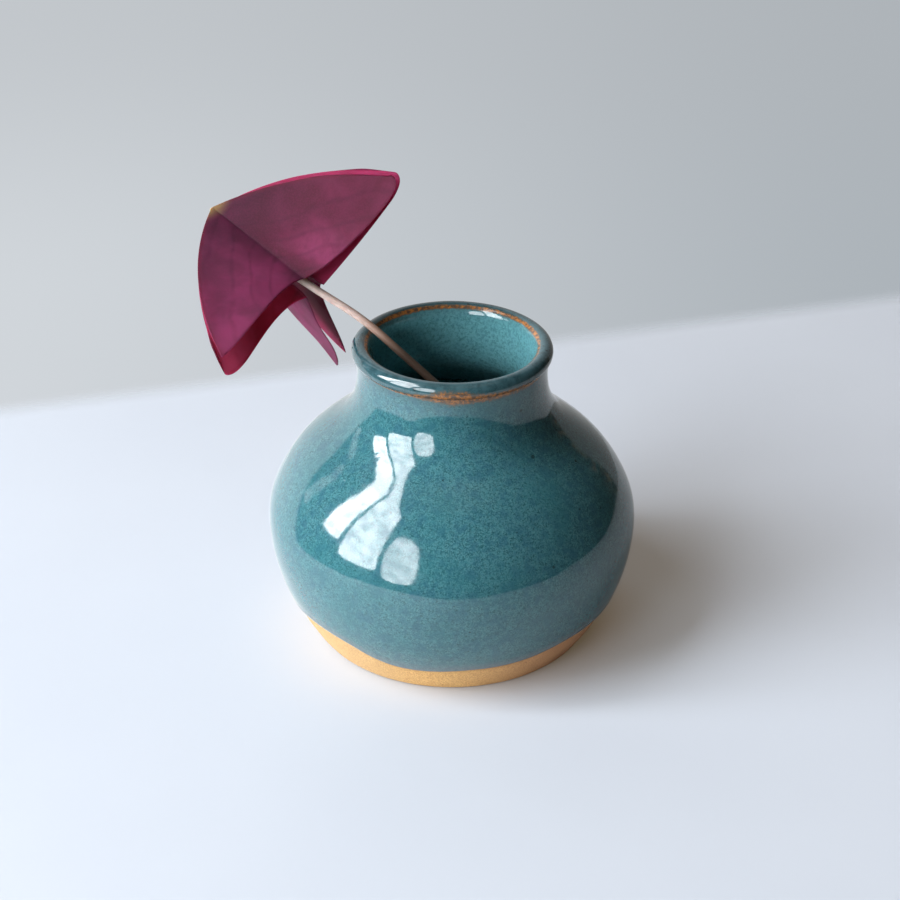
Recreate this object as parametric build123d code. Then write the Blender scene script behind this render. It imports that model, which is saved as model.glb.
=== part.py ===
from build123d import *
import math
import os

# Ceramic bud vase holding one half-closed wood-sorrel leaf.
# Millimetres. Origin: centre of the flat foot on the vase axis. +Z up, the leaf leans out over -X.

# ---- driving dimensions: vase -------------------------------------------------
FOOT_FLAT_R = 27.6        # flat resting disc
FOOT_EDGE = (28.4, 0.8)   # radius and height where the foot bevel ends
GLAZE_LINE_Z = 8.3        # lower edge of the outside glaze, on average round the pot
GLAZE_T = 0.5             # outside glaze over the clay
LIP_GLAZE_T = 0.45        # glaze over the rolled lip
INSIDE_GLAZE_T = 0.4      # inside glaze over the clay
LIP_R, LIP_Z = 18.2, 61.9  # centre circle of the rolled lip
LIP_BEAD_R = 1.7          # radius of the rolled lip over its glaze
BREAK_OUT_DEG = -50       # where the outside glaze meets the lip glaze, from the outward horizontal
BREAK_IN_DEG = 128        # where the lip glaze meets the inside glaze

# Outside of the glaze (radius, height), from just above the glaze line to the neck.
OUTSIDE = [(33.32, 8.6), (34.92, 12.0), (36.18, 16.0), (36.96, 20.0), (37.33, 24.2), (37.02, 28.0),
           (35.67, 32.0), (33.50, 36.0), (30.35, 40.0), (25.95, 44.0), (21.75, 48.0), (19.60, 52.0),
           (18.95, 55.5), (18.95, 58.5)]
# Bare clay between the foot and the glaze line, and where the glaze starts.
FOOT_WALL = [FOOT_EDGE, (29.25, 2.0), (30.15, 3.4), (31.02, 4.9), (31.85, 6.5)]
CLAY_START = (32.62, GLAZE_LINE_Z - 0.1)
GLAZE_START = (33.17, GLAZE_LINE_Z)
# Inside of the glaze, from the neck down to the centre of the floor.
INSIDE = [(16.5, 62.5), (16.12, 61.3), (15.98, 59.8), (15.95, 57.5), (16.05, 54.5), (16.65, 51.5),
          (18.6, 48.0), (22.6, 44.0), (26.9, 40.0), (30.1, 36.0), (32.2, 32.0), (33.5, 28.0),
          (33.8, 24.2), (33.4, 20.0), (32.4, 16.0), (30.6, 12.0), (28.3, 9.2), (24.5, 7.0),
          (19.0, 5.9), (11.0, 5.5)]
FLOOR_Z = 5.45            # glaze surface at the centre of the floor

# ---- driving dimensions: leaf -------------------------------------------------
HUB = Vector(-48.2, 19.2, 83.1)            # where the three leaflets meet
STALK_AXIS = Vector(0.754, -0.517, -0.406).normalized()   # stalk direction leaving the hub
STEM_R = 0.77
STEM_TIP_R = 0.5          # the stalk narrows to this at the hub
STEM_TAPER = 2.5          # length of the narrowing
STEM_TOP = 23.0           # from the hub to the bend inside the folded leaf
REST_AZIMUTH = 163.5      # the stalk rests on the lip at this angle from +X
REST_R, REST_Z = 18.5, 65.77               # the bend over the lip
STEM_SLOPE = 39.0         # fall of the lower stalk, degrees below the horizontal
STEM_IN_VASE = 64.0       # length beyond the bend over the lip
STEM_BEND_R = (29.0, 57.0)                 # radii of the stalk's two bends
HUB_R = 0.55
HUB_FACE = 0.3            # distance from the hub's centre to the end of the stalk
ROOT_R = 1.2              # distance of each leaflet's joint from the stalk axis
ROOT_START = 0.007        # where a blade starts past its joint, as a share of its length
LEAF_T = 0.4
LEAF_T_ROOT = 0.2         # extra thickness at the root
FIRST_AZIMUTH = 102.2     # of the front leaflet, round the stalk
FOLD_ROUND = 0.05         # rounding of the midrib valley, in units of the half width
FOLD_ROUND_ROOT = 0.6     # extra rounding at the root, where the blade is nearly flat
HALF_GAP_DEG = 1.4        # angle each folded half keeps from the wing's mid-plane

# Each leaflet is folded along its midrib into two halves. A half is (tip angle from the stalk,
# how far the tip passes the notch, lobe shape, bow of the side edge, rounding of the tip).
LEAFLETS = {
    "leaflet_front": dict(turn=0, notch=25.3, midrib=3.5,
                          halves=((44.8, 5.9, -0.15, 0.47, 0.01), (44.4, 6.9, 1.0, 0.31, 0.055))),
    "leaflet_lower": dict(turn=-120, notch=27.0, midrib=1.5,
                          halves=((44.2, 5.3, 1.4, 0.12, 0.02), (43.2, 7.4, -0.40, 0.46, 0.06))),
    "leaflet_back": dict(turn=120, notch=27.6, midrib=4.0,
                         halves=((45.6, 4.2, 0.3, 0.39, 0.07), (46.5, 4.8, -1.3, 0.5, 0.03))),
}
CUP = 1.0                 # outward swell of each half
LENGTH_STEPS, WIDTH_STEPS = 12, 40


# ---- vase ---------------------------------------------------------------------
def lip_point(radius, degrees):
    a = math.radians(degrees)
    return (LIP_R + radius * math.cos(a), LIP_Z + radius * math.sin(a))


def inward(points, distance, side):
    """Points moved square to their polyline; side +1 is to the left of the walking direction."""
    moved = []
    for i, (r, z) in enumerate(points):
        r0, z0 = points[max(i - 1, 0)]
        r1, z1 = points[min(i + 1, len(points) - 1)]
        length = math.hypot(r1 - r0, z1 - z0)
        moved.append((r - side * distance * (z1 - z0) / length, z + side * distance * (r1 - r0) / length))
    return moved


def on_section(points):
    return [Vector(r, 0, z) for r, z in points]


def spline(points):
    return Edge.make_spline(on_section(points))


def line(a, b):
    return Edge.make_line(*on_section([a, b]))


def lip_arc(radius):
    middle = (BREAK_OUT_DEG + BREAK_IN_DEG) / 2
    stops = [lip_point(radius, d) for d in (BREAK_OUT_DEG, middle, BREAK_IN_DEG)]
    return Edge.make_three_point_arc(*on_section(stops))


def turned(edges):
    return revolve(Face(Wire(edges)), axis=Axis.Z)


clay_lip = LIP_BEAD_R - LIP_GLAZE_T
glaze_out = spline([GLAZE_START] + OUTSIDE + [lip_point(LIP_BEAD_R, BREAK_OUT_DEG)])
clay_out_points = inward(OUTSIDE, GLAZE_T, 1)
clay_out = spline([CLAY_START] + clay_out_points + [lip_point(clay_lip, BREAK_OUT_DEG)])
glaze_in = spline([lip_point(LIP_BEAD_R, BREAK_IN_DEG)] + INSIDE + [(0, FLOOR_Z)])
clay_in_points = inward(INSIDE, INSIDE_GLAZE_T, 1)
clay_in = spline([lip_point(clay_lip, BREAK_IN_DEG)] + clay_in_points + [(0, FLOOR_Z - INSIDE_GLAZE_T)])

clay_lip_arc, glaze_lip_arc = lip_arc(clay_lip), lip_arc(LIP_BEAD_R)
outer_break = line(lip_point(clay_lip, BREAK_OUT_DEG), lip_point(LIP_BEAD_R, BREAK_OUT_DEG))
inner_break = line(lip_point(clay_lip, BREAK_IN_DEG), lip_point(LIP_BEAD_R, BREAK_IN_DEG))

parts = {}
parts["stoneware_body"] = turned([
    line((0, 0), (FOOT_FLAT_R, 0)),
    line((FOOT_FLAT_R, 0), FOOT_EDGE),
    spline(FOOT_WALL + [CLAY_START]),
    clay_out, clay_lip_arc, clay_in,
    line((0, FLOOR_Z - INSIDE_GLAZE_T), (0, 0)),
])
parts["exterior_glaze"] = turned([
    line(CLAY_START, GLAZE_START), glaze_out, outer_break, clay_out])
parts["lip_glaze"] = turned([outer_break, glaze_lip_arc, inner_break, clay_lip_arc])
parts["interior_glaze"] = turned([
    inner_break, glaze_in, line((0, FLOOR_Z), (0, FLOOR_Z - INSIDE_GLAZE_T)), clay_in])


# ---- stalk and hub --------------------------------------------------------------
rest_a = math.radians(REST_AZIMUTH)
outward = Vector(math.cos(rest_a), math.sin(rest_a), 0)
slope = math.radians(STEM_SLOPE)
lower_dir = outward * -math.cos(slope) + Vector(0, 0, -math.sin(slope))
over_lip = outward * REST_R + Vector(0, 0, REST_Z)
taper_end = HUB + STALK_AXIS * STEM_TAPER
route = [taper_end, HUB + STALK_AXIS * STEM_TOP, over_lip, over_lip + lower_dir * STEM_IN_VASE]
path = FilletPolyline(*route, radius=STEM_BEND_R)
shaft = sweep(Plane(origin=taper_end, z_dir=STALK_AXIS) * Circle(STEM_R), path=path)
hub_plane = Plane(origin=HUB, z_dir=STALK_AXIS)
neck = Pos(0, 0, HUB_FACE) * Cone(
    STEM_TIP_R, STEM_R, STEM_TAPER - HUB_FACE, align=(Align.CENTER, Align.CENTER, Align.MIN))
parts["stem"] = shaft + hub_plane * neck
dome_r = math.sqrt(HUB_R ** 2 - HUB_FACE ** 2)
dome = turned([
    Edge.make_three_point_arc(*on_section([(0, -HUB_R), (HUB_R, 0), (dome_r, HUB_FACE)])),
    line((dome_r, HUB_FACE), (0, HUB_FACE)),
    line((0, HUB_FACE), (0, -HUB_R)),
])
parts["leaf_hub"] = hub_plane * dome


# ---- leaflets -------------------------------------------------------------------
to_front = Vector(0, -math.cos(math.radians(29.16)), math.sin(math.radians(29.16)))
round_q = (to_front - STALK_AXIS * to_front.dot(STALK_AXIS)).normalized()
round_p = STALK_AXIS.cross(round_q)


def leaflet_frame(spec):
    """Unit vectors out from the stalk through the midrib, and along the hinge."""
    f = math.radians(FIRST_AZIMUTH + spec["turn"])
    out = round_p * math.cos(f) + round_q * math.sin(f)
    return out, STALK_AXIS.cross(out)


def blade_point(spec, u, v):
    """Middle of the blade: u 0..1 from the root to the margin, v -1..1 from side to side."""
    out, across = leaflet_frame(spec)
    tip_angle, rise, lobe, bow, rounding = spec["halves"][0 if v >= 0 else 1]
    side = 1 if v >= 0 else -1
    fold = FOLD_ROUND + FOLD_ROUND_ROOT * (1 - u) ** 8
    w = (math.hypot(v, fold) - fold) / (math.hypot(1, fold) - fold)
    mu, tau, half = (math.radians(x) for x in (spec["midrib"], tip_angle, 60 - HALF_GAP_DEG))
    rib = out * math.sin(mu) + STALK_AXIS * math.cos(mu)
    edge = (out * math.cos(half) + across * side * math.sin(half)) * math.sin(tau) + STALK_AXIS * math.cos(tau)
    spread = math.acos(edge.dot(rib))
    square = (edge - rib * edge.dot(rib)).normalized()
    swell = rib.cross(square) * side
    swell = swell if swell.dot(out) > 0 else swell * -1
    angle = spread * w * (1 + bow * (1 - u))
    reach = spec["notch"] + rise * (lobe * (1 - (1 - w) ** 2) + (1 - lobe) * w * w)
    reach *= (1 - rounding * (max(0, w - 0.8) / 0.2) ** 2) / math.cos(spread * w)
    bulge = CUP * math.sin(math.pi * w) * math.sin(math.pi * u / 2) ** 1.5
    return (HUB + out * ROOT_R + (rib * math.cos(angle) + square * math.sin(angle)) * (u * reach)
            + swell * bulge)


def blade_normal(spec, u, v):
    d = 0.01
    u0, u1 = max(u - d, 0.001), min(u + d, 1)
    v0, v1 = max(v - d, -1), min(v + d, 1)
    along = blade_point(spec, u1, v) - blade_point(spec, u0, v)
    over = blade_point(spec, u, v1) - blade_point(spec, u, v0)
    return along.cross(over).normalized()


def blade(spec):
    """Closed sheet between two offset surfaces."""
    us = [ROOT_START + (1 - ROOT_START) * i / LENGTH_STEPS for i in range(LENGTH_STEPS + 1)]
    vs = [-1 + 2 * j / WIDTH_STEPS for j in range(WIDTH_STEPS + 1)]
    skins = []
    for side in (1, -1):
        grid = [[blade_point(spec, u, v)
                 + blade_normal(spec, u, v) * (side * (LEAF_T + LEAF_T_ROOT * (1 - u) ** 6) / 2)
                 for v in vs] for u in us]
        skins.append(Face.make_surface_from_array_of_points(grid, tol=0.01))
    rims = []
    for edge in skins[0].edges():
        near = min(skins[1].edges(), key=lambda e: (e.position_at(0.5) - edge.position_at(0.5)).length)
        rims.append(Face.make_surface_from_curves(edge, near))
    return Solid(Shell(skins + rims))


for name, spec in LEAFLETS.items():
    parts[name] = blade(spec)

os.makedirs("parts", exist_ok=True)
for name, shape in parts.items():
    export_step(shape, f"parts/{name}.step")
    box = shape.bounding_box()
    print(f"{name}: volume {shape.volume:.1f} mm3, solids {len(shape.solids())}, valid {shape.is_valid}, "
          f"{[round(c, 2) for c in (*box.min, *box.max)]}")
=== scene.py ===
import math

import bpy
import numpy as np
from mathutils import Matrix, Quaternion, Vector


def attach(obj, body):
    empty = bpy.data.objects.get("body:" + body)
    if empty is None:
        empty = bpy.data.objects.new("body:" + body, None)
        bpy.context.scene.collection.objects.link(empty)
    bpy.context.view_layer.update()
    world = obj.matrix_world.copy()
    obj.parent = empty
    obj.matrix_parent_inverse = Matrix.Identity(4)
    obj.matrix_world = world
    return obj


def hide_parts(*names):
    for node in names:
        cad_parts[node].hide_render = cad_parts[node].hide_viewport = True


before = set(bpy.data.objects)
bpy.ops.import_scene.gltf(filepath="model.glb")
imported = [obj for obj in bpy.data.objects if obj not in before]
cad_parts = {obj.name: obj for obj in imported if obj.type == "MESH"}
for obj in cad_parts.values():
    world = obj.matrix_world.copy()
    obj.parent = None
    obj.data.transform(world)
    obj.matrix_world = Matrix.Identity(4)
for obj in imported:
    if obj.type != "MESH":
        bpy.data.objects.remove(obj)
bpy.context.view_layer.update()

# Ceramic bud vase holding one half-closed wood-sorrel leaf. Shapes are worked out in the CAD frame
# in millimetres, and become metres when a mesh is made.
MM = 0.001

# ---- vase profiles, as in the CAD model (radius, height) ----------------------------------------
FOOT_FLAT_R, FOOT_EDGE = 27.6, (28.4, 0.8)
FOOT_WALL = [FOOT_EDGE, (29.25, 2.0), (30.15, 3.4), (31.02, 4.9), (31.85, 6.5)]
CLAY_START, GLAZE_START = (32.62, 8.2), (33.17, 8.3)
GLAZE_T, LIP_GLAZE_T, INSIDE_GLAZE_T = 0.5, 0.45, 0.4
LIP_R, LIP_Z, LIP_BEAD_R = 18.2, 61.9, 1.7
BREAK_OUT_DEG, BREAK_IN_DEG = -50, 128
OUTSIDE = [(33.32, 8.6), (34.92, 12.0), (36.18, 16.0), (36.96, 20.0), (37.33, 24.2), (37.02, 28.0),
           (35.67, 32.0), (33.50, 36.0), (30.35, 40.0), (25.95, 44.0), (21.75, 48.0), (19.60, 52.0),
           (18.95, 55.5), (18.95, 58.5)]
INSIDE = [(16.5, 62.5), (16.12, 61.3), (15.98, 59.8), (15.95, 57.5), (16.05, 54.5), (16.65, 51.5),
          (18.6, 48.0), (22.6, 44.0), (26.9, 40.0), (30.1, 36.0), (32.2, 32.0), (33.5, 28.0),
          (33.8, 24.2), (33.4, 20.0), (32.4, 16.0), (30.6, 12.0), (28.3, 9.2), (24.5, 7.0),
          (19.0, 5.9), (11.0, 5.5)]
FLOOR_Z = 5.45
# The dipped glaze ends at a wavy line: (azimuth in degrees, height). It runs a little to either side
# of the level line of the CAD model, and GLAZE_BELOW carries the glaze surface on down to it.
GLAZE_LINE = [(0, 9.6), (30, 9.0), (60, 9.4), (95, 8.7), (130, 9.2), (165, 8.8), (200, 9.6), (218, 11.0),
              (231, 10.3), (243, 7.9), (257, 6.8), (272, 7.2), (296, 8.0), (312, 9.6), (335, 10.0)]
GLAZE_BELOW = [(31.5, 4.7), (32.3, 6.3)]
BARE_TOP = 12.6           # the clay has close rows up to here, above the highest part of that line
AROUND = 320              # points round the vase

# ---- leaf, as in the CAD model --------------------------------------------------------------------
HUB = np.array((-48.2, 19.2, 83.1))
STALK_AXIS = np.array((0.754, -0.517, -0.406)) / np.linalg.norm((0.754, -0.517, -0.406))
STEM_R, STEM_TIP_R, STEM_TAPER, STEM_TOP = 0.77, 0.5, 2.5, 23.0
REST_AZIMUTH, REST_R, REST_Z = 163.5, 18.5, 65.77
STEM_SLOPE, STEM_IN_VASE = 39.0, 64.0
STEM_BEND_R = (29.0, 57.0)
HUB_R, HUB_FACE = 0.55, 0.3
ROOT_R, ROOT_START = 1.2, 0.007
FIRST_AZIMUTH = 102.2
FOLD_ROUND, FOLD_ROUND_ROOT = 0.05, 0.6
HALF_GAP_DEG, CUP = 1.4, 1.0
CORNER_CUT, CORNER_WIDTH = 0.045, 0.10    # rounding of a blade's corner, scaled by each half's "corners"
VIEW_TILT = 29.16         # the elevation that the leaflets' azimuths are counted from
# turn round the stalk, the notch's distance, the midrib's angle off the stalk, and for each half: tip angle,
# rise to the corner, lobe shape, bow and rounding; corners is how much each half's corner is rounded
LEAFLETS = {
    "leaflet_front": dict(turn=0, notch=25.3, midrib=3.5, corners=(0.5, 1.0),
                          halves=((44.8, 5.9, -0.15, 0.47, 0.01), (44.4, 6.9, 1.0, 0.31, 0.055))),
    "leaflet_lower": dict(turn=-120, notch=27.0, midrib=1.5, corners=(0.1, 1.0),
                          halves=((44.2, 5.3, 1.4, 0.12, 0.02), (43.2, 7.4, -0.40, 0.46, 0.06))),
    "leaflet_back": dict(turn=120, notch=27.6, midrib=4.0, corners=(1.0, 0.2),
                         halves=((45.6, 4.2, 0.3, 0.39, 0.07), (46.5, 4.8, -1.3, 0.5, 0.03))),
}
# The drawn blade is thinner than the CAD solid, with a thicker root.
BLADE_T, BLADE_T_ROOT = 0.24, 0.3
BLADE_STEPS = 84, 200     # along and across a blade
SIDE_VEINS = 5.0


# ---- mesh helpers ---------------------------------------------------------------------------------
def curve_through(points, spacing):
    """Evenly spaced points of the natural cubic curve through the given ones."""
    p = np.array(points, float)
    t = np.concatenate([[0], np.cumsum(np.linalg.norm(np.diff(p, axis=0), axis=1))])
    h = np.diff(t)
    system, target = np.eye(len(p)), np.zeros_like(p)
    for i in range(1, len(p) - 1):
        system[i, i - 1:i + 2] = h[i - 1], 2 * (h[i - 1] + h[i]), h[i]
        target[i] = 6 * ((p[i + 1] - p[i]) / h[i] - (p[i] - p[i - 1]) / h[i - 1])
    bend = np.linalg.solve(system, target)
    s = np.linspace(0, t[-1], max(2, round(t[-1] / spacing) + 1))
    i = np.clip(np.searchsorted(t, s, side="right") - 1, 0, len(h) - 1)
    a, b = ((t[i + 1] - s) / h[i])[:, None], ((s - t[i]) / h[i])[:, None]
    hh = (h[i] ** 2)[:, None]
    return a * p[i] + b * p[i + 1] + ((a ** 3 - a) * bend[i] + (b ** 3 - b) * bend[i + 1]) * hh / 6


def lip_arc(radius, first, last, steps):
    """Section points round the lip's bead, in degrees from the outward horizontal."""
    a = np.radians(np.linspace(first, last, steps))
    return np.stack([LIP_R + radius * np.cos(a), LIP_Z + radius * np.sin(a)], axis=1)


def left_normals(curve):
    """Unit vectors to the left of the walking direction of a plane curve."""
    d = np.gradient(curve, axis=0)
    return np.stack([-d[:, 1], d[:, 0]], axis=1) / np.linalg.norm(d, axis=1)[:, None]


def distance_along(curve):
    return np.concatenate([[0], np.cumsum(np.linalg.norm(np.diff(curve, axis=0), axis=1))])


def unit(v):
    v = np.asarray(v, float)
    return v / np.linalg.norm(v, axis=-1, keepdims=True)


def grid_faces(rows, columns, wrap_columns=False, wrap_rows=False):
    r, c = np.meshgrid(np.arange(rows if wrap_rows else rows - 1),
                       np.arange(columns if wrap_columns else columns - 1), indexing="ij")
    r2, c2 = (r + 1) % rows, (c + 1) % columns
    corners = [r * columns + c, r * columns + c2, r2 * columns + c2, r2 * columns + c]
    return np.stack(corners, -1).reshape(-1, 4)


def make_piece(name, points, faces, material, attributes=None, sharp=40):
    """A mesh object from points in millimetres."""
    mesh = bpy.data.meshes.new(name)
    mesh.from_pydata((np.asarray(points) * MM).tolist(), [], [list(map(int, f)) for f in faces])
    mesh.validate()
    for key, values in (attributes or {}).items():
        layer = mesh.attributes.new(key, "FLOAT", "POINT")
        layer.data.foreach_set("value", np.asarray(values, np.float32).ravel())
    mesh.polygons.foreach_set("use_smooth", [True] * len(mesh.polygons))
    mesh.set_sharp_from_angle(angle=math.radians(sharp))
    mesh.materials.append(material)
    piece = bpy.data.objects.new(name, mesh)
    bpy.context.scene.collection.objects.link(piece)
    return piece


def ripples(azimuth, along, count, around, step, seed):
    """Smooth seeded unevenness of about +-1 over a turned surface."""
    local = np.random.default_rng(seed)
    total = np.zeros(np.broadcast(azimuth, along).shape)
    for _ in range(count):
        k, m = local.integers(1, around + 1), local.uniform(-1, 1) * 2 * math.pi / step
        total += np.sin(k * azimuth + m * along + local.uniform(0, 2 * math.pi))
    return total / math.sqrt(count)


# ---- node helpers ---------------------------------------------------------------------------------
def rgb(red, green, blue):
    """A colour given in sRGB 0-255, as Blender's linear RGBA."""
    def linear(c):
        c /= 255
        return c / 12.92 if c <= 0.04045 else ((c + 0.055) / 1.055) ** 2.4
    return (linear(red), linear(green), linear(blue), 1.0)


class Shader:
    """A material or world's node tree, with short calls for the nodes used here."""

    def __init__(self, owner):
        owner.use_nodes = True
        self.tree = owner.node_tree
        self.tree.nodes.clear()

    def add(self, kind, inputs=None, **settings):
        node = self.tree.nodes.new("ShaderNode" + kind)
        for key, value in settings.items():
            setattr(node, key, value)
        for key, value in (inputs or {}).items():
            if isinstance(value, bpy.types.NodeSocket):
                self.tree.links.new(value, node.inputs[key])
            else:
                node.inputs[key].default_value = value
        return node

    def maths(self, operation, a, b=0.0, clamp=False):
        return self.add("Math", {0: a, 1: b}, operation=operation, use_clamp=clamp).outputs[0]

    def mix(self, factor, a, b, blend="MIX"):
        node = self.add("Mix", {0: factor, 6: a, 7: b}, data_type="RGBA", blend_type=blend)
        return node.outputs[2]

    def step(self, value, low, high, out_low=0.0, out_high=1.0):
        return self.add("MapRange", {0: value, 1: low, 2: high, 3: out_low, 4: out_high},
                        interpolation_type="SMOOTHSTEP").outputs[0]

    def millimetres(self):
        where = self.add("TexCoord").outputs["Object"]
        return self.add("VectorMath", {0: where, "Scale": 1 / MM}, operation="SCALE").outputs[0]

    def noise(self, vector, size, detail=2.0, roughness=0.5, distortion=0.0):
        """Noise of about 0-1 with features of the given size in the vector's units."""
        return self.add("TexNoise", {"Vector": vector, "Scale": 1 / size, "Detail": detail,
                                     "Roughness": roughness, "Distortion": distortion}).outputs["Fac"]

    def value_of(self, attribute):
        return self.add("Attribute", attribute_name=attribute).outputs["Fac"]

    def bump(self, height, depth, normal=None):
        """Bump of the given depth in metres where height goes from 0 to 1."""
        inputs = {"Height": height, "Distance": depth, "Strength": 1.0}
        if normal is not None:
            inputs["Normal"] = normal
        return self.add("Bump", inputs).outputs[0]

    def surface(self, **inputs):
        shader = self.add("BsdfPrincipled", {k.replace("_", " "): v for k, v in inputs.items()})
        self.add("OutputMaterial", {"Surface": shader.outputs[0]})
        return shader


# ---- materials --------------------------------------------------------------------------------------
def glaze_material(name, inside_light_paint):
    """Teal stoneware glaze, painted paler inside by its second argument as painted light on the inside wall
    of the mouth. Attributes: iron (brown where it breaks), thin (grey by the glaze line) and rim (darker and
    greyer over the lip)."""
    material = bpy.data.materials.new(name)
    s = Shader(material)
    mm = s.millimetres()
    clouds = s.noise(mm, 9.0, 3.0, 0.55)
    patches = s.noise(mm, 1.9, 3.0, 0.6, 0.3)
    mottle = s.noise(mm, 0.62, 3.0, 0.65)
    grain = s.noise(mm, 0.3, 2.0, 0.65)
    teal = s.mix(s.step(mottle, 0.34, 0.66), rgb(29, 69, 76), rgb(52, 102, 110))
    teal = s.mix(s.step(grain, 0.36, 0.72), teal, rgb(74, 120, 126))
    teal = s.mix(s.step(patches, 0.42, 0.68, 0, 0.6), teal, rgb(40, 82, 98))
    teal = s.mix(s.step(clouds, 0.4, 0.7, 0, 0.35), teal, rgb(39, 94, 100))
    specks = s.add("TexVoronoi", {"Vector": mm, "Scale": 1 / 4.6, "Randomness": 1.0})
    size = s.step(s.noise(mm, 3.0), 0.44, 0.68, 0.0, 0.095)
    dark_speck = s.maths("LESS_THAN", specks.outputs["Distance"], size)
    # painted light: the inside copy is painted paler here, standing in for window light falling into the
    # mouth
    painted_light_mask = s.maths("MULTIPLY", s.step(mottle, 0.3, 0.65, 0.6, 1.2), inside_light_paint)
    teal = s.mix(painted_light_mask, teal, rgb(116, 178, 184))
    teal = s.mix(s.maths("MULTIPLY", dark_speck, 0.7), teal, rgb(20, 38, 40))
    # the lip: thinner, so darker and greyer, with a few dark spots
    rim = s.value_of("rim")
    rim_tone = s.mix(s.step(patches, 0.3, 0.65), rgb(32, 54, 60), rgb(54, 80, 86))
    teal = s.mix(s.maths("MULTIPLY", rim, s.step(mottle, 0.2, 0.7, 0.7, 0.95)), teal, rim_tone)
    spots = s.add("TexVoronoi", {"Vector": mm, "Scale": 1 / 3.4, "Randomness": 1.0})
    spot_size = s.step(s.noise(mm, 4.0), 0.44, 0.62, 0.0, 0.20)
    spot = s.maths("MULTIPLY", s.maths("LESS_THAN", spots.outputs["Distance"], spot_size), rim)
    teal = s.mix(s.maths("MULTIPLY", spot, 0.75), teal, rgb(24, 34, 36))
    # thin glaze just over the glaze line shows grey and mauve, then a brown edge
    thin = s.value_of("thin")
    greyed = s.maths("MULTIPLY", s.step(thin, 0.05, 0.8), s.step(mottle, 0.2, 0.6, 0.4, 0.75))
    colour = s.mix(greyed, teal, rgb(104, 108, 114))
    # iron brown, gold where it is thinnest
    ragged = s.maths("ADD", s.maths("MULTIPLY", s.maths("SUBTRACT", s.noise(mm, 1.5, 4.0, 0.62), 0.5), 0.55),
                     s.maths("MULTIPLY", s.maths("SUBTRACT", s.noise(mm, 0.4, 2.0, 0.6), 0.5), 0.5))
    iron = s.maths("ADD", s.value_of("iron"), ragged)
    rust = s.mix(s.step(s.noise(mm, 0.8, 3.0, 0.6), 0.40, 0.64), rgb(82, 62, 48), rgb(164, 104, 50))
    rust = s.mix(s.step(iron, 0.35, 0.8), rgb(86, 80, 70), rust)
    colour = s.mix(s.step(iron, 0.24, 0.58), colour, rust)
    # surface: slow waves, orange peel and a few pinholes
    holes = s.add("TexVoronoi", {"Vector": mm, "Scale": 1 / 7.5, "Randomness": 1.0})
    hole = s.step(holes.outputs["Distance"], 0.012, 0.03)
    normal = s.bump(s.noise(mm, 2.6, 1.0), 0.000014)
    normal = s.bump(s.noise(mm, 0.5, 2.0, 0.6), 0.000004, normal)
    normal = s.bump(hole, 0.00005, normal)
    roughness = s.maths("ADD", s.step(s.noise(mm, 1.1, 3.0, 0.6), 0.3, 0.8, 0.05, 0.12),
                        s.step(iron, 0.3, 0.7, 0.0, 0.14))
    s.surface(Base_Color=colour, Roughness=roughness, Normal=normal, IOR=1.63)
    return material


def clay_material():
    """Unglazed tan stoneware, matt and sandy. Attributes: flash (painted light and shade by side: duller at 0
    on the window side, redder at 1 on the shaded side) and scorch (brown just under the glaze)."""
    material = bpy.data.materials.new("bare_stoneware")
    s = Shader(material)
    mm = s.millimetres()
    sand = s.noise(mm, 0.32, 3.0, 0.7)
    tan = s.mix(s.step(sand, 0.32, 0.68), rgb(172, 128, 78), rgb(226, 186, 126))
    tan = s.mix(s.step(s.noise(mm, 5.0, 3.0), 0.35, 0.7, 0.0, 0.4), tan, rgb(206, 162, 106))
    painted_side_light = s.value_of("painted_side_light")
    # painted light and shade: duller on the window side, redder on the shaded side
    tan = s.mix(s.step(painted_side_light, 0.02, 0.4, 0.6, 0.0), tan, rgb(162, 140, 110))
    tan = s.mix(s.step(painted_side_light, 0.42, 0.95, 0.0, 0.8), tan, rgb(190, 138, 104))
    burnt = s.step(s.noise(mm, 0.9, 3.0, 0.6), 0.25, 0.6, 0.5, 1.0)
    scorch = s.maths("MULTIPLY", s.value_of("scorch"), burnt)
    tan = s.mix(scorch, tan, rgb(138, 88, 52))
    grit = s.add("TexVoronoi", {"Vector": mm, "Scale": 1 / 1.5, "Randomness": 1.0})
    speck = s.maths("LESS_THAN", grit.outputs["Distance"], s.step(s.noise(mm, 1.7), 0.5, 0.75, 0.0, 0.12))
    colour = s.mix(s.maths("MULTIPLY", speck, 0.6), tan, rgb(112, 78, 50))
    normal = s.bump(sand, 0.00008)
    normal = s.bump(s.noise(mm, 1.4, 3.0, 0.6), 0.00006, normal)
    s.surface(Base_Color=colour, Roughness=s.step(sand, 0.2, 0.8, 0.72, 0.92), Normal=normal,
              Specular_IOR_Level=0.2)
    return material


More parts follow.
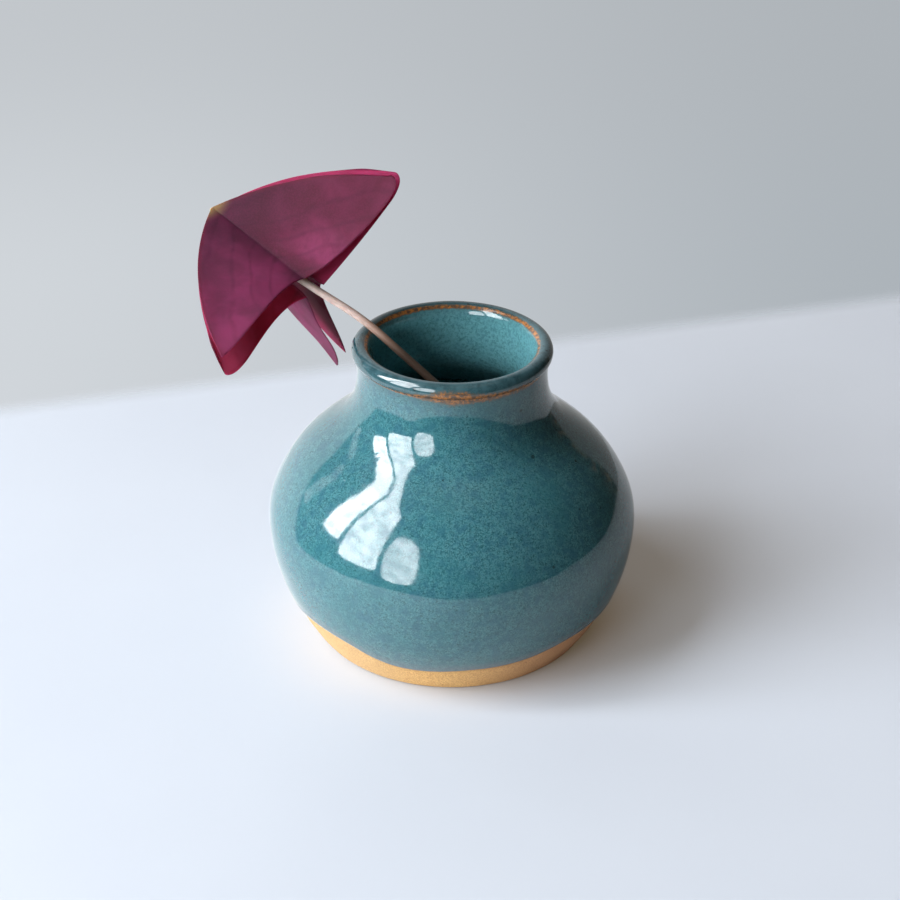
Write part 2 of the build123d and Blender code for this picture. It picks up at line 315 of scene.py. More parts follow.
def leaf_material(name, ground, bright, dark, dull, edge_colour):
    """Leaf skin. Attributes: along (root to margin), out (midrib to side edge), vein, margin and upper
    (1 on the upper half, which is coloured darker and duller)."""
    material = bpy.data.materials.new(name)
    s = Shader(material)
    mm = s.millimetres()
    along, out = s.value_of("along"), s.value_of("out")
    clouds = s.noise(mm, 7.0, 3.0, 0.5, 0.5)
    blotches = s.noise(mm, 2.2, 3.0, 0.55)
    cells = s.noise(mm, 0.34, 3.0, 0.6)
    colour = s.mix(s.step(clouds, 0.3, 0.7, 0.1, 0.85), ground, bright)
    dulled = s.maths("MULTIPLY", s.value_of("upper"), s.step(clouds, 0.3, 0.7, 0.95, 0.75))
    colour = s.mix(dulled, colour, dull)
    # pinker in the fold's outer end; darker at the root and along the midrib, painted shade in the fold where
    # the halves close together
    glow = s.maths("MULTIPLY", s.step(along, 0.45, 0.85), s.step(out, 0.1, 0.3))
    glow = s.maths("MULTIPLY", glow, s.step(out, 0.3, 0.75, 1.0, 0.15))
    colour = s.mix(s.maths("MULTIPLY", glow, s.step(blotches, 0.3, 0.7, 0.3, 0.6)), colour, bright)
    colour = s.mix(s.step(along, 0.15, 0.75, 0.6, 0.0), colour, dark)
    colour = s.mix(s.step(out, 0.0, 0.12, 0.45, 0.0), colour, dark)
    colour = s.mix(s.step(cells, 0.35, 0.7, 0.0, 0.12), colour, bright)
    # faint arching side veins
    wander = s.maths("MULTIPLY", s.maths("SUBTRACT", s.noise(mm, 9.0, 1.0), 0.5), 0.8)
    phase = s.maths("ADD", s.maths("MULTIPLY", s.value_of("vein"), SIDE_VEINS), wander)
    line = s.maths("ABSOLUTE", s.maths("SUBTRACT", s.maths("FRACT", phase), 0.5))
    vein = s.maths("MULTIPLY", s.step(line, 0.0, 0.16, 1.0, 0.0), s.step(out, 0.02, 0.2, 1.0, 0.6))
    vein = s.maths("MULTIPLY", vein, s.step(blotches, 0.3, 0.65, 0.25, 1.0))
    colour = s.mix(s.maths("MULTIPLY", vein, 0.4), colour, dark)
    # the thin margin and the olive root
    margin = s.value_of("margin")
    colour = s.mix(s.step(margin, 0.75, 1.0, 0.0, 0.6), colour, edge_colour)
    colour = s.mix(s.step(along, 0.13, 0.0, 0.0, 0.75), colour, rgb(124, 104, 62))
    normal = s.bump(cells, 0.000008)
    normal = s.bump(vein, -0.00002, normal)
    normal = s.bump(blotches, 0.00003, normal)
    s.surface(Base_Color=colour, Roughness=s.step(cells, 0.2, 0.8, 0.6, 0.75), Normal=normal,
              Specular_IOR_Level=0.3, IOR=1.2, Subsurface_Weight=0.4,
              Subsurface_Radius=(0.0012, 0.0003, 0.0005), Subsurface_Scale=1.0)
    return material


def stalk_material():
    """Pale pinkish stalk. Attribute: down, the distance from the hub in millimetres."""
    material = bpy.data.materials.new("stalk_skin")
    s = Shader(material)
    mm = s.millimetres()
    down = s.value_of("down")
    streak = s.noise(mm, 2.4, 2.0, 0.5)
    fine = s.noise(mm, 0.22, 2.0, 0.6)
    colour = s.mix(s.step(streak, 0.3, 0.7), rgb(216, 188, 178), rgb(232, 212, 204))
    colour = s.mix(s.step(fine, 0.4, 0.75, 0.0, 0.3), colour, rgb(214, 168, 156))
    colour = s.mix(s.step(down, 0.0, 28.0, 0.7, 0.0), colour, rgb(186, 158, 108))
    # browner from 32 to 44 mm by the lip; then painted shade, nearly black, down inside the vase's mouth
    colour = s.mix(s.step(down, 32.0, 44.0, 0.0, 0.85), colour, rgb(150, 114, 92))
    colour = s.mix(s.step(down, 38.0, 50.0, 0.0, 0.94), colour, rgb(66, 52, 42))
    normal = s.bump(fine, 0.00001)
    normal = s.bump(streak, 0.00002, normal)
    s.surface(Base_Color=colour, Roughness=s.step(fine, 0.2, 0.8, 0.42, 0.56), Normal=normal, IOR=1.4,
              Subsurface_Weight=0.2, Subsurface_Radius=(0.001, 0.0006, 0.0004), Subsurface_Scale=1.0)
    return material


def hub_material():
    """Yellow-green joint of the leaf."""
    material = bpy.data.materials.new("hub_skin")
    s = Shader(material)
    mm = s.millimetres()
    colour = s.mix(s.step(s.noise(mm, 0.35, 3.0, 0.6), 0.3, 0.7), rgb(128, 110, 52), rgb(186, 170, 96))
    normal = s.bump(s.noise(mm, 0.2, 2.0), 0.00003)
    s.surface(Base_Color=colour, Roughness=0.55, Normal=normal, Subsurface_Weight=0.2,
              Subsurface_Radius=(0.0006, 0.0004, 0.0002), Subsurface_Scale=1.0)
    return material


# ---- vase pieces --------------------------------------------------------------------------------------
azimuths = np.linspace(0, 2 * math.pi, AROUND, endpoint=False)


def wobble(azimuth, z):
    """Radial unevenness of the thrown wall, in millimetres."""
    fade = np.clip(z / 10, 0, 1)
    return fade * (0.10 * np.cos(2 * azimuth + 0.7) + 0.06 * np.cos(3 * azimuth - 0.04 * z))


def turned_points(curve, azimuth, moved):
    """Points of a plane curve turned round Z, each moved along the curve's left normal and by the wobble.
    curve is (rows, 2) or (rows, columns, 2)."""
    if curve.ndim == 2:
        normals = np.repeat(left_normals(curve)[:, None], len(azimuth), axis=1)
        curve = np.repeat(curve[:, None], len(azimuth), axis=1)
    else:
        normals = np.stack([left_normals(curve[:, j]) for j in range(curve.shape[1])], axis=1)
    section = curve + normals * np.broadcast_to(moved, curve.shape[:2])[..., None]
    r = section[..., 0] + wobble(azimuth[None], section[..., 1])
    return np.stack([r * np.cos(azimuth), r * np.sin(azimuth), section[..., 1]], axis=-1)


def shell_between(name, front, back, material, attributes):
    """Closed turned shell: front rows run one way and back rows return, all (rows, AROUND, 3)."""
    points = np.concatenate([front, back[::-1]])
    rows = len(points)
    faces = grid_faces(rows, AROUND, wrap_columns=True, wrap_rows=True)[:, ::-1]
    hidden = np.zeros((len(back), AROUND))
    full = {k: np.concatenate([np.broadcast_to(v, front.shape[:2]), hidden]) for k, v in attributes.items()}
    return make_piece(name, points.reshape(-1, 3), faces, material, full)


def around_noise(seed, waves):
    """Smooth seeded unevenness of -1 to 1 round the pot."""
    local = np.random.default_rng(seed)
    total = np.zeros(AROUND)
    for k in range(1, waves + 1):
        total += np.sin(k * azimuths + local.uniform(0, 2 * math.pi)) * local.uniform(0.5, 1) / k ** 0.6
    return total / np.abs(total).max()


def bump_at(value, centre, width):
    """1 at the centre, falling to nothing over about twice the width."""
    return np.exp(-((value - centre) / width) ** 2)


def offset(points, distance):
    """Points moved to the left of their polyline, such as the clay behind the glaze."""
    p = np.array(points)
    return [tuple(q) for q in p + left_normals(p) * distance]


def glaze_line():
    """Height of the glaze's lower edge round the pot."""
    a, z = np.array(GLAZE_LINE).T
    a, z = np.concatenate([a - 360, a, a + 360]), np.tile(z, 3)
    curve = curve_through(list(zip(a, z * 10)), 1.0)
    return np.interp(np.degrees(azimuths), curve[:, 0], curve[:, 1] / 10) + 0.12 * around_noise(11, 24)


def rows_from_line(curve, line, steps):
    """Section points from a level (one for each azimuth) up to the curve's end, as (rows, AROUND, 2),
    and each one's distance from that level. steps are distances, stretched to fit."""
    s = distance_along(curve)
    start = np.interp(line, curve[:, 1], s)
    apart = steps[:, None] * ((s[-1] - start) / steps[-1])[None]
    at = np.minimum(start[None] + apart, s[-1])
    return np.stack([np.interp(at, s, curve[:, 0]), np.interp(at, s, curve[:, 1])], axis=-1), apart


def make_outside_glaze(material):
    break_out = tuple(lip_arc(LIP_BEAD_R, BREAK_OUT_DEG, 0, 2)[0])
    curve = curve_through(GLAZE_BELOW + [GLAZE_START] + OUTSIDE + [break_out], 0.05)
    length = distance_along(curve)[-1]
    steps = np.concatenate([np.arange(0, 1.2, 0.07), np.arange(1.2, 5, 0.3), np.linspace(5, length, 120)])
    placed, s = rows_from_line(curve, glaze_line(), steps)
    # the glaze ends in a rounded roll
    roll = 0.10 * (1 + 0.35 * around_noise(12, 9)[None]) * bump_at(s, 0.9, 0.7)
    closing = -GLAZE_T * (1 - np.sqrt(np.clip(1 - np.clip(1 - s / 0.55, 0, 1) ** 2, 0, 1)))
    throwing = (0.020 * ripples(azimuths[None], s, 8, 2, 9.0, 21)
                + 0.006 * ripples(azimuths[None], s, 6, 1, 3.2, 22))
    uneven = 0.012 * ripples(azimuths[None], s, 14, 14, 6.0, 23)
    settle = np.clip(s / 6, 0.15, 1) * np.clip((s[-1:] - s) / 6, 0, 1)
    front = turned_points(placed, azimuths, (throwing + uneven) * settle - roll - closing)
    break_clay = tuple(lip_arc(LIP_BEAD_R - LIP_GLAZE_T, BREAK_OUT_DEG, 0, 2)[0])
    behind = curve_through(FOOT_WALL + [CLAY_START] + offset(OUTSIDE[1:], GLAZE_T) + [break_clay], 0.05)
    placed_behind, _ = rows_from_line(behind, glaze_line() + 0.1, np.linspace(0, length, 24))
    back = turned_points(placed_behind, azimuths, 0)
    lip_distance = s[-1:] - s
    iron = (neck_iron(-50 - np.degrees(lip_distance / LIP_BEAD_R), azimuths[None])
            + 0.95 * bump_at(s, 0.0, 0.35))
    thin = np.clip(1 - s / 3.6, 0, 1) ** 0.9 * (0.8 + 0.3 * around_noise(14, 5)[None])
    rim = 0.5 * np.clip(1 - lip_distance / 2.2, 0, 1)
    return shell_between("glaze_outside", front, back, material, {"iron": iron, "thin": thin, "rim": rim})


def neck_iron(degrees, azimuth):
    """Brown break under the lip, by place round the bead's section: a line, wider at the front and right."""
    front = np.exp(-((np.degrees(azimuth) - 268) / 16) ** 2)
    right = np.exp(-((np.degrees(azimuth) - 300) / 26) ** 2)
    centre = -46 + 12 * front + 4 * around_noise(33, 7)
    width = 13 + 46 * front + 30 * right + 4 * around_noise(35, 11)
    strength = 0.78 + 0.10 * front + 0.12 * around_noise(36, 8)
    return strength * np.exp(-((degrees - centre) / width) ** 2)


def make_lip_glaze(material):
    steps = 54
    degrees = np.linspace(BREAK_OUT_DEG, BREAK_IN_DEG, steps)
    front_curve = lip_arc(LIP_BEAD_R, BREAK_OUT_DEG, BREAK_IN_DEG, steps)
    back_curve = lip_arc(LIP_BEAD_R - LIP_GLAZE_T, BREAK_OUT_DEG, BREAK_IN_DEG, 12)
    hold = np.sin(np.linspace(0, math.pi, steps))[:, None] ** 0.7
    dents = 0.012 * ripples(azimuths[None], degrees[:, None], 10, 16, 120, 32)
    uneven = hold * (0.06 * around_noise(31, 5)[None] + dents)
    front = turned_points(front_curve, azimuths, -uneven)
    back = turned_points(back_curve, azimuths, 0)
    ring = 0.68 + 0.26 * around_noise(34, 9)[None]
    iron = neck_iron(degrees[:, None], azimuths[None]) + ring * bump_at(degrees[:, None], 133, 18)
    rim = 0.55 + 0.45 * bump_at(degrees[:, None], 60, 75) + 0 * iron
    return shell_between("glaze_lip", front, back, material,
                         {"iron": iron, "thin": np.zeros_like(iron), "rim": rim})


def make_inside_glaze(material):
    break_in = tuple(lip_arc(LIP_BEAD_R, BREAK_IN_DEG, 0, 2)[0])
    whole = curve_through([break_in] + INSIDE + [(0.4, FLOOR_Z)], 0.1)
    curve = np.concatenate([whole[:40:2], whole[40::7], whole[-1:]])
    s = distance_along(curve)[:, None]
    settle = np.clip(s / 6, 0, 1) * np.clip(curve[:, :1] / 14, 0, 1)
    rings = 0.10 * ripples(azimuths[None], s, 8, 2, 7.0, 41) * settle
    front = turned_points(curve, azimuths, -rings)
    under = curve_through([tuple(lip_arc(LIP_BEAD_R - LIP_GLAZE_T, BREAK_IN_DEG, 0, 2)[0])]
                          + offset(INSIDE, INSIDE_GLAZE_T) + [(0.4, FLOOR_Z - INSIDE_GLAZE_T)], 3.0)
    back = turned_points(under, azimuths, 0)
    ring = 0.68 + 0.26 * around_noise(34, 9)[None]
    stain = 0.30 * bump_at(s, 2.0, 2.2) * (0.6 + 0.6 * around_noise(37, 6)[None])
    iron = ring * bump_at(s, 0.15, 0.54) + stain
    rim = 0.55 * np.clip(1 - s / 3.0, 0, 1) + 0 * iron
    points = np.concatenate([front, back[::-1]])
    rows, front_rows = len(points), len(front)
    faces = grid_faces(rows, AROUND, wrap_columns=True, wrap_rows=True)[:, ::-1].reshape(rows, AROUND, 4)
    faces = np.delete(faces, front_rows - 1, axis=0).reshape(-1, 4).tolist()
    top, bottom = (front_rows - 1) * AROUND, front_rows * AROUND
    faces.append([top + i for i in range(AROUND)][::-1])
    faces.append([bottom + i for i in range(AROUND)])
    hidden = np.zeros((len(back), AROUND))
    values = {"iron": np.concatenate([np.broadcast_to(iron, front.shape[:2]), hidden]),
              "thin": np.zeros((rows, AROUND)),
              "rim": np.concatenate([np.broadcast_to(rim, front.shape[:2]), hidden])}
    return make_piece("glaze_inside", points.reshape(-1, 3), faces, material, values)


def make_clay(material):
    """The whole clay wall, inside and out, with trimming rings where it is bare."""
    clay_lip = LIP_BEAD_R - LIP_GLAZE_T
    sole = np.array([(0.5, 0.0), (9, 0), (18, 0), (FOOT_FLAT_R - 0.8, 0)])
    break_clay = tuple(lip_arc(clay_lip, BREAK_OUT_DEG, 0, 2)[0])
    wall = curve_through([(FOOT_FLAT_R - 0.5, 0), (FOOT_FLAT_R + 0.15, 0.18)] + FOOT_WALL + [CLAY_START]
                         + offset(OUTSIDE[1:], GLAZE_T) + [break_clay], 0.14)
    bare = wall[:, 1] < BARE_TOP
    wall = np.concatenate([wall[bare], wall[~bare][::14]])
    lip = lip_arc(clay_lip, BREAK_OUT_DEG, BREAK_IN_DEG, 10)
    inside = curve_through([tuple(lip[-1])] + offset(INSIDE, INSIDE_GLAZE_T)
                           + [(0.5, FLOOR_Z - INSIDE_GLAZE_T)], 2.0)
    curve = np.concatenate([sole, wall, lip[:-1], inside])
    s = distance_along(curve)[:, None]
    z = curve[:, 1:]
    outer = (np.arange(len(curve)) < len(sole) + len(wall))[:, None]
    band = np.clip(z / 0.6, 0, 1) * np.clip((BARE_TOP - z) / 1.5, 0, 1) * outer
    trimming = band * (0.035 * np.sin(2 * math.pi * z / 0.62 + 0.6 * np.sin(azimuths[None]))
                       + 0.03 * ripples(azimuths[None], s, 12, 20, 3.0, 51))
    points = turned_points(curve, azimuths, -trimming)
    rows = len(curve)
    faces = grid_faces(rows, AROUND, wrap_columns=True)[:, ::-1].tolist()
    faces.append([i for i in range(AROUND)])
    faces.append([(rows - 1) * AROUND + i for i in range(AROUND)][::-1])
    # painted light and shade by side: 0 towards the window on the left, 1 on the shaded right
    to_right = 0.55 * np.cos(azimuths[None] - 0.15)
    painted_side_light = np.clip(0.5 + to_right + 0.25 * around_noise(52, 6)[None], 0, 1) + 0 * z
    under_line = glaze_line()[None] - z
    scorch = bump_at(under_line, 0.1, 0.55) * outer * (0.6 + 0.3 * around_noise(53, 8)[None])
    return make_piece("vase_clay", points.reshape(-1, 3), faces, material,
                      {"painted_side_light": painted_side_light, "scorch": scorch})


# ---- leaf pieces ----------------------------------------------------------------------------------------
tilt = math.radians(VIEW_TILT)
to_front = np.array((0, -math.cos(tilt), math.sin(tilt)))
round_q = unit(to_front - STALK_AXIS * to_front.dot(STALK_AXIS))
round_p = np.cross(STALK_AXIS, round_q)


def leaflet_frame(spec):
    f = math.radians(FIRST_AZIMUTH + spec["turn"])
    out = round_p * math.cos(f) + round_q * math.sin(f)
    return out, np.cross(STALK_AXIS, out)


def blade_points(spec, u, v):
    """Middle of the blade, as in the CAD model: u 0..1 root to margin, v -1..1 side to side (arrays)."""
    out, across = leaflet_frame(spec)
    points = np.zeros(u.shape + (3,))
    share = np.zeros(u.shape)
    for side, half, corner in zip((1, -1), spec["halves"], spec["corners"]):
        tip_angle, rise, lobe, bow, rounding = half
        here = (v >= 0) if side == 1 else (v < 0)
        uu, vv = u[here], np.abs(v[here])
        fold = FOLD_ROUND + FOLD_ROUND_ROOT * (1 - uu) ** 8
        w = (np.hypot(vv, fold) - fold) / (np.hypot(1, fold) - fold)
        mu, tau, gap = (math.radians(x) for x in (spec["midrib"], tip_angle, 60 - HALF_GAP_DEG))
        rib = out * math.sin(mu) + STALK_AXIS * math.cos(mu)
        wing = out * math.cos(gap) + across * side * math.sin(gap)
        edge = wing * math.sin(tau) + STALK_AXIS * math.cos(tau)
        spread = math.acos(edge.dot(rib))
        square = unit(edge - rib * edge.dot(rib))
        swell = np.cross(rib, square) * side
        swell = swell if swell.dot(out) > 0 else -swell
        angle = (spread * w * (1 + bow * (1 - uu)))[:, None]
        reach = spec["notch"] + rise * (lobe * (1 - (1 - w) ** 2) + (1 - lobe) * w * w)
        reach *= (1 - rounding * (np.clip(w - 0.8, 0, 1) / 0.2) ** 2) / np.cos(spread * w)
        turn = np.clip((w - 1 + CORNER_WIDTH) / CORNER_WIDTH, 0, 1)
        reach *= 1 - CORNER_CUT * corner * (1 - np.sqrt(1 - turn ** 2))
        bulge = (CUP * np.sin(math.pi * w) * np.sin(math.pi * uu / 2) ** 1.5)[:, None]
        towards = rib * np.cos(angle) + square * np.sin(angle)
        points[here] = HUB + out * ROOT_R + towards * (uu * reach)[:, None] + swell * bulge
        share[here] = w
    return points, share


def make_leaflet(name, spec, outer_material, inner_material, seed):
    """A thin closed blade with rounded margins, raised veins and a gentle uneven surface."""
    length_steps, width_steps = BLADE_STEPS
    u = ROOT_START + (1 - ROOT_START) * (np.linspace(0, 1, length_steps) ** 0.9)
    ends = np.linspace(-1, 1, width_steps)
    v = np.sign(ends) * (1 - (1 - np.abs(ends) ** 1.15) ** 1.5)
    uu, vv = np.meshgrid(u, v, indexing="ij")
    middle, share = blade_points(spec, uu, vv)
    normal = unit(np.cross(np.gradient(middle, axis=0), np.gradient(middle, axis=1)))
    out, _ = leaflet_frame(spec)
    if (normal * out).sum(-1).mean() < 0:
        normal = -normal
    # how far inside the margin each point lies, in millimetres
    size = np.linalg.norm(middle - middle[:1], axis=-1)
    to_margin = np.minimum(size[-1:] - size, (1 - np.abs(vv)) * uu * 22)
    thin = np.sqrt(np.clip(to_margin / 0.45, 0.0, 1))
    half_t = (BLADE_T + BLADE_T_ROOT * (1 - uu) ** 6) / 2 * (0.25 + 0.75 * thin)
    vein = uu * (1 - 0.80 * share ** 1.25)
    phase = vein * SIDE_VEINS
    line = np.abs(phase % 1 - 0.5)
    ridge = np.clip(1 - line / 0.10, 0, 1) * np.clip(share / 0.06, 0, 1) * np.clip(to_margin / 2, 0, 1)
    rib = np.exp(-(share / 0.012) ** 2) * np.clip(uu * 6, 0, 1) * np.clip(to_margin / 1.5, 0.2, 1)
    local = np.random.default_rng(seed)
    flutter = np.zeros(uu.shape)
    for _ in range(7):
        a, b = local.uniform(1.5, 5.5), local.uniform(-9, 9)
        flutter += np.sin(a * uu * math.pi + b * vv + local.uniform(0, 6.28))
    flutter *= 0.10 * uu ** 1.5 * np.clip(share / 0.2, 0, 1)
    outer = middle + normal * (half_t + flutter - 0.012 * ridge + 0.08 * rib)[..., None]
    inner = middle - normal * (half_t - flutter + 0.02 * ridge + 0.16 * rib)[..., None]
    rows, columns = uu.shape
    count = rows * columns
    points = np.concatenate([outer.reshape(-1, 3), inner.reshape(-1, 3)])
    front = grid_faces(rows, columns)
    middle_face = front[len(front) // 2]
    first = points[middle_face]
    facing = np.cross(first[1] - first[0], first[2] - first[1]).dot(normal.reshape(-1, 3)[middle_face[0]])
    front = front if facing > 0 else front[:, ::-1]
    back = front[:, ::-1] + count
    ring = ([c for c in range(columns)] + [r * columns + columns - 1 for r in range(1, rows)]
            + [(rows - 1) * columns + c for c in range(columns - 2, -1, -1)]
            + [r * columns for r in range(rows - 2, 0, -1)])
    rim = np.array([(a, b, b + count, a + count) for a, b in zip(ring, ring[1:] + ring[:1])])
    edge_face = front[0]
    directed = {(int(edge_face[i]), int(edge_face[(i + 1) % 4])) for i in range(4)}
    if (ring[0], ring[1]) in directed:
        rim = rim[:, ::-1]
    faces = np.concatenate([front, back, rim]).tolist()
    margin = np.clip(1 - to_margin / 2.0, 0, 1)
    values = {"along": uu, "out": share, "vein": vein, "margin": margin, "upper": (vv < 0) * 1.0}
    values = {k: np.concatenate([a.ravel(), a.ravel()]) for k, a in values.items()}
    piece = make_piece(name + "_blade", points, faces, outer_material, values, sharp=80)
    piece.data.materials.append(inner_material)
    slots = np.zeros(len(faces), np.int32)
    slots[len(front):len(front) + len(back)] = 1
    piece.data.polygons.foreach_set("material_index", slots)
    return piece


def rounded(start, corner, end, radius, steps=12):
    """Arc of a given radius round the corner between two straight runs."""
    before, after = unit(corner - start), unit(end - corner)
    turn = math.acos(before.dot(after))
    reach = radius * math.tan(turn / 2)
    centre = corner + unit(after - before) * (radius / math.cos(turn / 2))
    first, last = corner - before * reach - centre, corner + after * reach - centre
    t = np.linspace(0, 1, steps)[:, None]
    return centre + (np.sin((1 - t) * turn) * first + np.sin(t * turn) * last) / math.sin(turn)


def stalk_path():
    """Points down the stalk from just under the hub, in millimetres."""
    a = math.radians(REST_AZIMUTH)
    outward = np.array((math.cos(a), math.sin(a), 0))
    slope = math.radians(STEM_SLOPE)
    lower = -outward * math.cos(slope) - np.array((0, 0, math.sin(slope)))
    top, bend = HUB + STALK_AXIS * HUB_FACE, HUB + STALK_AXIS * STEM_TOP
    over_lip = outward * REST_R + np.array((0, 0, REST_Z))
    foot = over_lip + lower * STEM_IN_VASE
    corners = np.concatenate([[top], rounded(top, bend, over_lip, STEM_BEND_R[0]),
                              rounded(bend, over_lip, foot, STEM_BEND_R[1]), [foot]])
    s = distance_along(corners)
    even = np.arange(0, s[-1], 0.7)
    return np.stack([np.interp(even, s, corners[:, i]) for i in range(3)], axis=1)


def make_stalk(material):
    path = stalk_path()
    down = distance_along(path)
    tangent = unit(np.gradient(path, axis=0))
    side = unit(np.cross(tangent, (0, 0, 1)))
    other = np.cross(tangent, side)
    around = 28
    a = np.linspace(0, 2 * math.pi, around, endpoint=False)
    taper = STEM_TIP_R + (STEM_R - STEM_TIP_R) * np.clip(down / STEM_TAPER, 0, 1) ** 0.8
    swell = 1.03 + 0.02 * np.sin(down / 7.1 + 0.8)
    ridge = 1 + 0.02 * np.cos(3 * a[None] + down[:, None] / 29)
    radius = (taper * swell)[:, None] * ridge
    rings = (path[:, None] + side[:, None] * (radius * np.cos(a))[..., None]
             + other[:, None] * (radius * np.sin(a))[..., None])
    points = rings.reshape(-1, 3)
    rows = len(path)
    tip = path[-1] + tangent[-1] * 0.25
    points = np.concatenate([points, [path[0] - tangent[0] * 0.02, tip]])
    faces = grid_faces(rows, around, wrap_columns=True).tolist()
    start, end = rows * around, rows * around + 1
    faces += [[start, (i + 1) % around, i] for i in range(around)]
    faces += [[end, (rows - 1) * around + i, (rows - 1) * around + (i + 1) % around] for i in range(around)]
    values = {"down": np.concatenate([np.repeat(down, around), [0, down[-1]]])}
    return make_piece("stalk", points, faces, material, values, sharp=60)


def make_hub(material):
    """Small domed joint with a shallow dimple and three lobes towards the leaflets."""
    side = unit(np.cross(STALK_AXIS, (0, 0, 1)))
    other = np.cross(STALK_AXIS, side)
    around, steps = 36, 14
    a = np.linspace(0, 2 * math.pi, around, endpoint=False)
    last = math.acos(-HUB_FACE / HUB_R)
    points = []
    for t in np.linspace(0.12, last, steps):
        lobes = 1 + 0.07 * np.cos(3 * a) * math.sin(t)
        radius = HUB_R * math.sin(t) * lobes
        height = -HUB_R * math.cos(t) * (1 - 0.12 * math.exp(-(t / 0.4) ** 2))
        points.append(HUB + STALK_AXIS * height + side * (radius * np.cos(a))[:, None]
                      + other * (radius * np.sin(a))[:, None])
    points = np.concatenate(points + [[HUB - STALK_AXIS * HUB_R * 0.87, HUB + STALK_AXIS * HUB_FACE]])
    faces = grid_faces(steps, around, wrap_columns=True).tolist()
    top, bottom = steps * around, steps * around + 1
    faces += [[top, (i + 1) % around, i] for i in range(around)]
    last_row = (steps - 1) * around
    faces += [[bottom, last_row + i, last_row + (i + 1) % around] for i in range(around)]
    return make_piece("hub_dome", points, faces, material, None, sharp=50)


# ---- camera, floor and light ------------------------------------------------------------------------------
CAMERA_TARGET = Vector((-0.414, 0, 39.02)) * MM
CAMERA_DISTANCE = 445.6 * MM
CAMERA_ELEVATION, CAMERA_ROLL = 29.16, 0.30
LENS = 88.0
TABLE_BACK = ((-111.3, 88.5), (122.2, 157.2))     # two points of the far edge of the table
TABLE_BACK_SOFT, TABLE_BACK_PAST = 6.0, 7         # the edge fades over this to each side, within this margin
# left, right and front edges of the table the camera sees, and of the one that reflections see
TABLE_SEEN, TABLE_FELT = (-1500, 1500, -1500), (-165, 400, -132)
WINDOW_DISTANCE = 1.35    # metres
WINDOW_CENTRE_Z = 30      # height that the panes' elevations are counted from
# Panes as seen from the vase: azimuths and elevations (the top at each side), brightness, and how round.
WINDOW_PANES = [((180, 195), 13, (64, 68), 17.5, 0.1), ((198, 224), 6, (66, 50), 11.8, 0.15),
                ((227, 249), -2, (38, 36), 8.4, 0.7), ((154, 161), 8, (34, 34), 1.6, 0.4)]
# What reflections and fill see away from the window, as linear colours
WALL_RIGHT, WALL_LEFT = (0.25, 0.247, 0.243, 1), (1.40, 1.41, 1.43, 1)
DIM_ROOM, CEILING, CLUTTER = (0.034, 0.026, 0.018, 1), (0.30, 0.24, 0.18, 1), (0.26, 0.17, 0.09, 1)


def make_camera():
    data = bpy.data.cameras.new("camera")
    data.lens, data.sensor_width = LENS, 36.0
    camera = bpy.data.objects.new("camera", data)
    bpy.context.scene.collection.objects.link(camera)
    e = math.radians(CAMERA_ELEVATION)
    back = Vector((0, -math.cos(e), math.sin(e)))
    camera.location = CAMERA_TARGET + back * CAMERA_DISTANCE
    camera.rotation_mode = "QUATERNION"
    camera.rotation_quaternion = ((-back).to_track_quat("-Z", "Y")
                                  @ Quaternion((0, 0, 1), math.radians(CAMERA_ROLL)))
    data.clip_start, data.clip_end = 0.01, 20
    bpy.context.scene.camera = camera


def flat_piece(name, corners, material):
    mesh = bpy.data.meshes.new(name)
    mesh.from_pydata([tuple(c) for c in corners], [], [tuple(range(len(corners)))])
    mesh.materials.append(material)
    piece = bpy.data.objects.new(name, mesh)
    bpy.context.scene.collection.objects.link(piece)
    return piece


def table_material():
    """The pale top as the camera sees it, with a soft far edge and a little warm light in its shadows."""
    material = bpy.data.materials.new("pale_table")
    s = Shader(material)
    mm = s.millimetres()
    xyz = s.add("SeparateXYZ", {0: mm}).outputs
    tone = s.mix(s.step(s.noise(mm, 60.0, 2.0), 0.3, 0.7), (0.456, 0.504, 0.578, 1), (0.47, 0.518, 0.592, 1))
    top = s.add("BsdfPrincipled", {"Base Color": tone, "Roughness": 0.6, "Specular IOR Level": 0.25,
                                   "Emission Color": (0.082, 0.058, 0.030, 1), "Emission Strength": 1.0})
    (x0, y0), (x1, y1) = TABLE_BACK
    slope = (y1 - y0) / (x1 - x0)
    past = s.maths("SUBTRACT", xyz[1], s.maths("ADD", s.maths("MULTIPLY", xyz[0], slope), y0 - x0 * slope))
    solid = s.step(past, -TABLE_BACK_SOFT, TABLE_BACK_SOFT, 1.0, 0.0)
    clear = s.add("BsdfTransparent")
    mixed = s.add("MixShader", {0: solid, 1: clear.outputs[0], 2: top.outputs[0]})
    s.add("OutputMaterial", {"Surface": mixed.outputs[0]})
    return material


def felt_material():
    """The same top for bounced and reflected light, brighter towards the window."""
    material = bpy.data.materials.new("table_for_light")
    s = Shader(material)
    x = s.add("SeparateXYZ", {0: s.millimetres()}).outputs[0]
    tone = s.mix(s.step(x, -60, 60), (0.82, 0.83, 0.85, 1), (0.45, 0.46, 0.475, 1))
    s.surface(Base_Color=tone, Roughness=0.6, Specular_IOR_Level=0.25)
    return material


def make_table():
    """One table for the camera, and a smaller one for reflections and bounced light."""
    (x0, y0), (x1, y1) = TABLE_BACK
    slope = (y1 - y0) / (x1 - x0)

    def corners(left, right, front, past, z):
        return [Vector(p) * MM for p in ((left, front, z), (right, front, z),
                                         (right, y0 + (right - x0) * slope + past, z),
                                         (left, y0 + (left - x0) * slope + past, z))]
    seen = flat_piece("table_seen", corners(*TABLE_SEEN, TABLE_BACK_PAST, -0.02), table_material())
    seen.visible_glossy = seen.visible_diffuse = seen.visible_shadow = False
    felt = flat_piece("table_felt", corners(*TABLE_FELT, 0, -0.05), felt_material())
    felt.visible_camera = False


